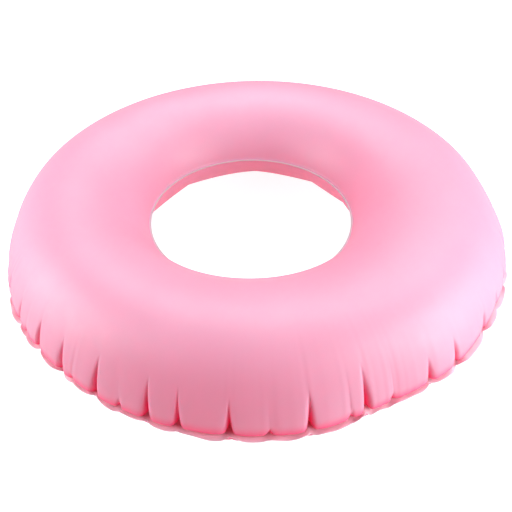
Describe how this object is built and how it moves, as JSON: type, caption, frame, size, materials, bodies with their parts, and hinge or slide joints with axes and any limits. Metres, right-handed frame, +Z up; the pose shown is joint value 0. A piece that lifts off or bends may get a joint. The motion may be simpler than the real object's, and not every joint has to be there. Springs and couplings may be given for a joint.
{
  "type": "inflatable swim ring",
  "caption": "Round air-filled ring of welded vinyl film that keeps a swimmer afloat, with an inflation valve under its rear edge.",
  "frame": {"origin": "centre of the ring's flat footprint, on the floor", "axes": "+Z up along the ring's axis; +Y towards the side where the valve sits under the outer seam"},
  "size_m": [0.76, 0.76, 0.178],
  "materials": {
    "ring_film": "satin",
    "valve_vinyl": "gloss",
    "flap_film": "gloss"
  },
  "bodies": {
    "ring": {"upper_panel": "ring_film", "lower_panel": "ring_film", "valve_flange": "valve_vinyl", "valve_diaphragm": "valve_vinyl"},
    "stem": {"valve_stem": "valve_vinyl"},
    "stopper": {"valve_stopper": "valve_vinyl", "stopper_strap": "valve_vinyl"},
    "flap": {"check_flap": "flap_film"}
  },
  "joints": [
    {"name": "valve_push", "type": "slide", "parent": "ring", "child": "stem", "axis": [0, 0.7071, -0.7071], "range_m": [-0.012, 0], "deforming": ["valve_diaphragm"]},
    {"name": "stopper_swing", "type": "hinge", "parent": "stem", "child": "stopper", "pos_m": [0, 0.36184, 0.02359], "axis": [1, 0, 0], "range_deg": [0, 120]},
    {"name": "flap_swing", "type": "hinge", "parent": "stem", "child": "flap", "pos_m": [0, 0.33798, 0.02667], "axis": [1, 0, 0], "range_deg": [0, 60], "stiffness_Nm_per_rad": 0.00005}
  ]
}
